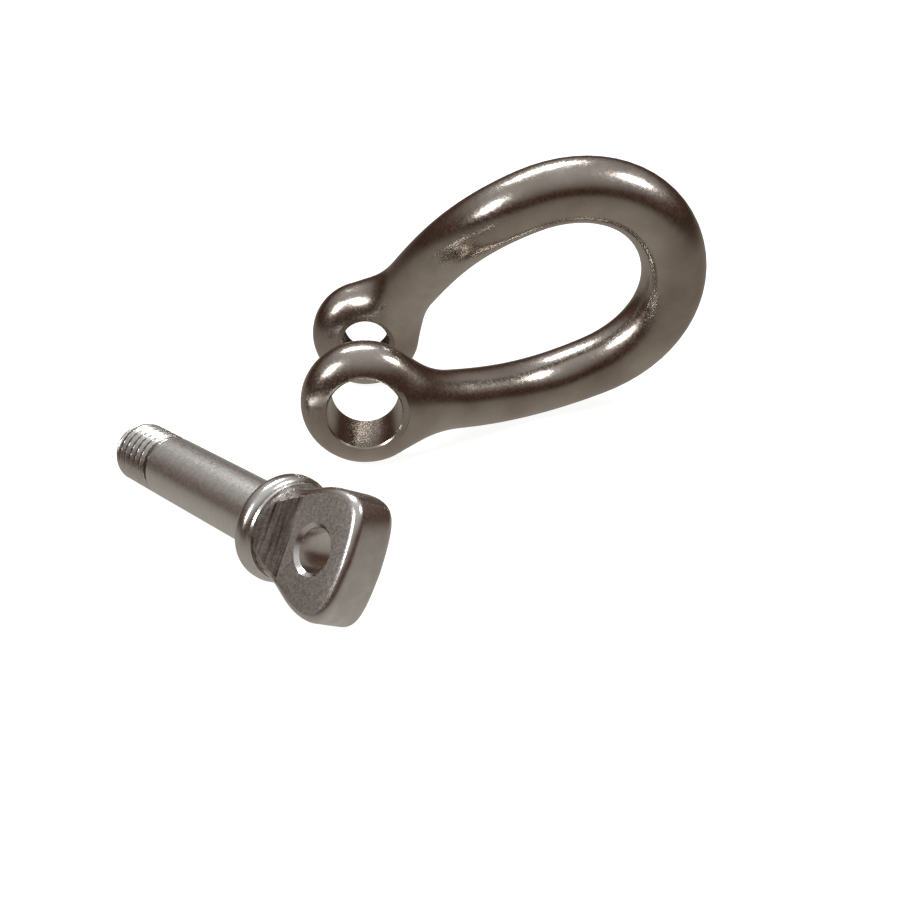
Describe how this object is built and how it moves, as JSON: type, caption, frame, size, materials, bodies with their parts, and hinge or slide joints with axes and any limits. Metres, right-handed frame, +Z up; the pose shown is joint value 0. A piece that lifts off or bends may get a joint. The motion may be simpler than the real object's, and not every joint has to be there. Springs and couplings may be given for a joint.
{
  "type": "shackle",
  "caption": "Forged bow shackle with a quarter twist, and its flat-headed screw pin drawn out and laid beside it.",
  "frame": {"origin": "under the middle of the bounding box of the bow and the pin as they lie, on the surface they lie on", "axes": "+Z up, +Y along the eyes' axis seen from above, from the plain eye to the tapped one, +X from the eyes towards the crown"},
  "size_m": [0.0816, 0.0702, 0.0373],
  "materials": {
    "tumbled_steel": "polished forging, warm grey with fine tumbling marks",
    "machined_steel": "satin turned steel with a polished rim and milled flats"
  },
  "bodies": {
    "bow": {"bow": "tumbled_steel"},
    "screw_pin": {"screw_pin": "machined_steel"}
  },
  "joints": [
    {"name": "pin_turn", "type": "hinge", "parent": "bow", "child": "screw_pin", "pos_m": [-0.01757, -0.01982, 0.00691], "axis": [0.6273, -0.7747, 0.0798], "continuous": true}
  ]
}
